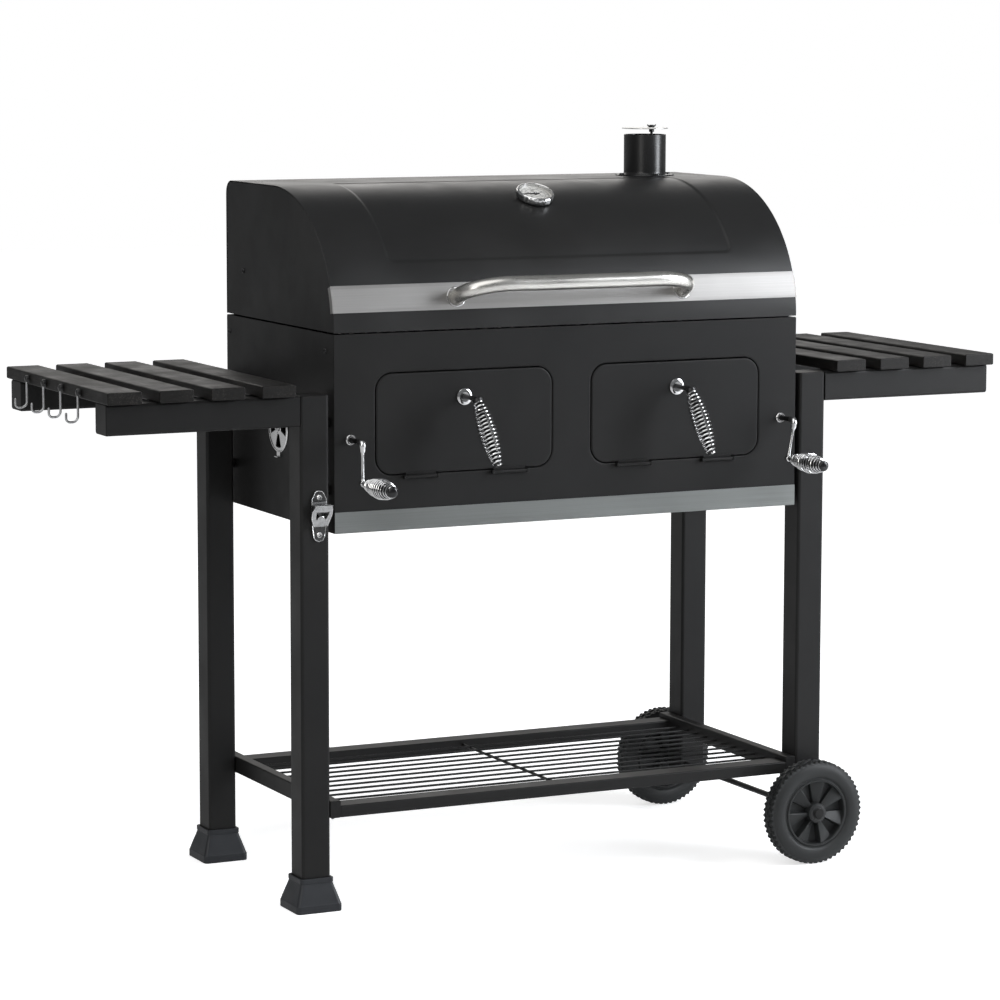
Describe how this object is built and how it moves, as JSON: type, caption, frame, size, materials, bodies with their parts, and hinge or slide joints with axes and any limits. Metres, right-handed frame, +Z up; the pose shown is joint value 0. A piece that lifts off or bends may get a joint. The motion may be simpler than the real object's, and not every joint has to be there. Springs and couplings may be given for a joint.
{
  "type": "charcoal grill trolley",
  "caption": "Large charcoal grill on a wheeled stand: curved hinged lid with chimney and thermometer, fuel doors, crank-lowered charcoal pans, slatted side tables, wire shelf.",
  "frame": {"origin": "on the ground, in the middle of the overall footprint of the part at rest", "axes": "+X along the firebox towards the wheels, +Y from the doors to the back, +Z up"},
  "size_m": [1.6702, 0.695, 1.262],
  "materials": {
    "coat": "satin black powder coat with a fine orange peel",
    "brushed_trim": "brushed stainless sheet, grain along its length",
    "handle_steel": "satin-polished stainless tube",
    "chrome": "bright chrome plate",
    "zinc": "dull zinc-plated or stamped steel",
    "boot_plastic": "fine-grained black moulding",
    "wheel_plastic": "black blow-moulded tyre with a moulded hub",
    "enamel": "black enamel on steel",
    "slat_wood": "black-stained softwood, eased edges",
    "needle": "black-painted steel pointer"
  },
  "bodies": {
    "stand": {"shelf_frame": "coat", "shelf_grid": "coat", "wheel_axle": "coat", "foot_front": "boot_plastic", "foot_rear": "boot_plastic", "firebox_front_panel": "coat", "firebox_trim": "brushed_trim", "firebox_trough": "coat", "bottle_opener": "zinc", "leg_front_left": "coat", "table_left_arm_front": "coat", "leg_rear_left": "coat", "table_left_arm_rear": "coat", "table_left_slat_1": "slat_wood", "table_left_slat_2": "slat_wood", "table_left_slat_3": "slat_wood", "table_left_slat_4": "slat_wood", "lid_hinge_left": "coat", "leg_front_right": "coat", "table_right_arm_front": "coat", "leg_rear_right": "coat", "table_right_arm_rear": "coat", "table_right_slat_1": "slat_wood", "table_right_slat_2": "slat_wood", "table_right_slat_3": "slat_wood", "table_right_slat_4": "slat_wood", "lid_hinge_right": "coat", "tool_hook_1": "zinc", "tool_hook_2": "zinc", "tool_hook_3": "zinc", "tool_hook_4": "zinc", "firebox_left_panel": "coat", "firebox_right_panel": "coat"},
    "lid": {"lid_shell": "coat", "lid_left_end": "coat", "lid_right_end": "coat", "lid_trim": "brushed_trim", "lid_handle": "handle_steel", "thermometer_case": "chrome", "chimney_pipe": "coat"},
    "chimney_damper": {"chimney_damper": "brushed_trim"},
    "thermometer_needle": {"thermometer_needle": "needle"},
    "door_left": {"door_left": "coat"},
    "door_handle_left": {"door_handle_left": "chrome"},
    "crank_left": {"crank_left": "chrome"},
    "crank_grip_left": {"crank_grip_left": "chrome"},
    "charcoal_pan_left": {"charcoal_pan_left": "enamel"},
    "vent_shutter_left": {"vent_shutter_left": "chrome"},
    "cooking_grate_left": {"cooking_grate_left": "enamel"},
    "door_right": {"door_right": "coat"},
    "door_handle_right": {"door_handle_right": "chrome"},
    "crank_right": {"crank_right": "chrome"},
    "crank_grip_right": {"crank_grip_right": "chrome"},
    "charcoal_pan_right": {"charcoal_pan_right": "enamel"},
    "vent_shutter_right": {"vent_shutter_right": "chrome"},
    "cooking_grate_right": {"cooking_grate_right": "enamel"},
    "wheel_front": {"wheel_front": "wheel_plastic"},
    "wheel_rear": {"wheel_rear": "wheel_plastic"}
  },
  "joints": [
    {"name": "lid_hinge", "type": "hinge", "parent": "stand", "child": "lid", "pos_m": [0.0121, 0.2885, 0.945], "axis": [-1, 0, 0], "range_deg": [0, 95]},
    {"name": "damper_swivel", "type": "hinge", "parent": "lid", "child": "chimney_damper", "pos_m": [0.35195, 0.17835, 1.256], "axis": [0, 0, 1], "range_deg": [0, 120]},
    {"name": "thermometer_sweep", "type": "hinge", "parent": "lid", "child": "thermometer_needle", "pos_m": [0.0121, -0.0395, 1.15025], "axis": [0, 0.408, -0.913], "range_deg": [0, 200], "stiffness_Nm_per_rad": 0.002},
    {"name": "door_left_hinge", "type": "hinge", "parent": "stand", "child": "door_left", "pos_m": [-0.1844, -0.1845, 0.7085], "axis": [1, 0, 0], "range_deg": [0, 100]},
    {"name": "door_left_latch", "type": "hinge", "parent": "door_left", "child": "door_handle_left", "pos_m": [-0.1859, -0.1995, 0.835], "axis": [0, -1, 0], "range_deg": [0, 90]},
    {"name": "crank_left_turn", "type": "hinge", "parent": "stand", "child": "crank_left", "pos_m": [-0.3889, -0.1895, 0.773], "axis": [0, 1, 0], "range_deg": [0, 229]},
    {"name": "crank_left_grip_spin", "type": "hinge", "parent": "crank_left", "child": "crank_grip_left", "pos_m": [-0.3889, -0.2895, 0.707], "axis": [0, -1, 0], "continuous": true},
    {"name": "charcoal_pan_left_drop", "type": "slide", "parent": "stand", "child": "charcoal_pan_left", "axis": [0, 0, -1], "range_m": [0, 0.08]},
    {"name": "vent_left_turn", "type": "hinge", "parent": "stand", "child": "vent_shutter_left", "pos_m": [-0.4189, 0.0505, 0.771], "axis": [1, 0, 0], "range_deg": [0, 45]},
    {"name": "cooking_grate_left_lift", "type": "slide", "parent": "stand", "child": "cooking_grate_left", "axis": [0, 0, 1], "range_m": [0, 0.06]},
    {"name": "door_right_hinge", "type": "hinge", "parent": "stand", "child": "door_right", "pos_m": [0.2086, -0.1845, 0.7085], "axis": [1, 0, 0], "range_deg": [0, 100]},
    {"name": "door_right_latch", "type": "hinge", "parent": "door_right", "child": "door_handle_right", "pos_m": [0.2101, -0.1995, 0.835], "axis": [0, 1, 0], "range_deg": [0, 90]},
    {"name": "crank_right_turn", "type": "hinge", "parent": "stand", "child": "crank_right", "pos_m": [0.4131, -0.1895, 0.773], "axis": [0, -1, 0], "range_deg": [0, 229]},
    {"name": "crank_right_grip_spin", "type": "hinge", "parent": "crank_right", "child": "crank_grip_right", "pos_m": [0.40164, -0.2895, 0.708], "axis": [0, -1, 0], "continuous": true},
    {"name": "charcoal_pan_right_drop", "type": "slide", "parent": "stand", "child": "charcoal_pan_right", "axis": [0, 0, -1], "range_m": [0, 0.08]},
    {"name": "vent_right_turn", "type": "hinge", "parent": "stand", "child": "vent_shutter_right", "pos_m": [0.4431, 0.0505, 0.771], "axis": [1, 0, 0], "range_deg": [0, 45]},
    {"name": "cooking_grate_right_lift", "type": "slide", "parent": "stand", "child": "cooking_grate_right", "axis": [0, 0, 1], "range_m": [0, 0.06]},
    {"name": "wheel_front_spin", "type": "hinge", "parent": "stand", "child": "wheel_front", "pos_m": [0.4621, -0.2205, 0.09], "axis": [0, 1, 0], "continuous": true},
    {"name": "wheel_rear_spin", "type": "hinge", "parent": "stand", "child": "wheel_rear", "pos_m": [0.4621, 0.3215, 0.09], "axis": [0, 1, 0], "continuous": true}
  ],
  "couplings": [
    {"joint": "charcoal_pan_left_drop", "follows": "crank_left_turn", "m_per_rad": 0.02},
    {"joint": "charcoal_pan_right_drop", "follows": "crank_right_turn", "m_per_rad": 0.02}
  ]
}
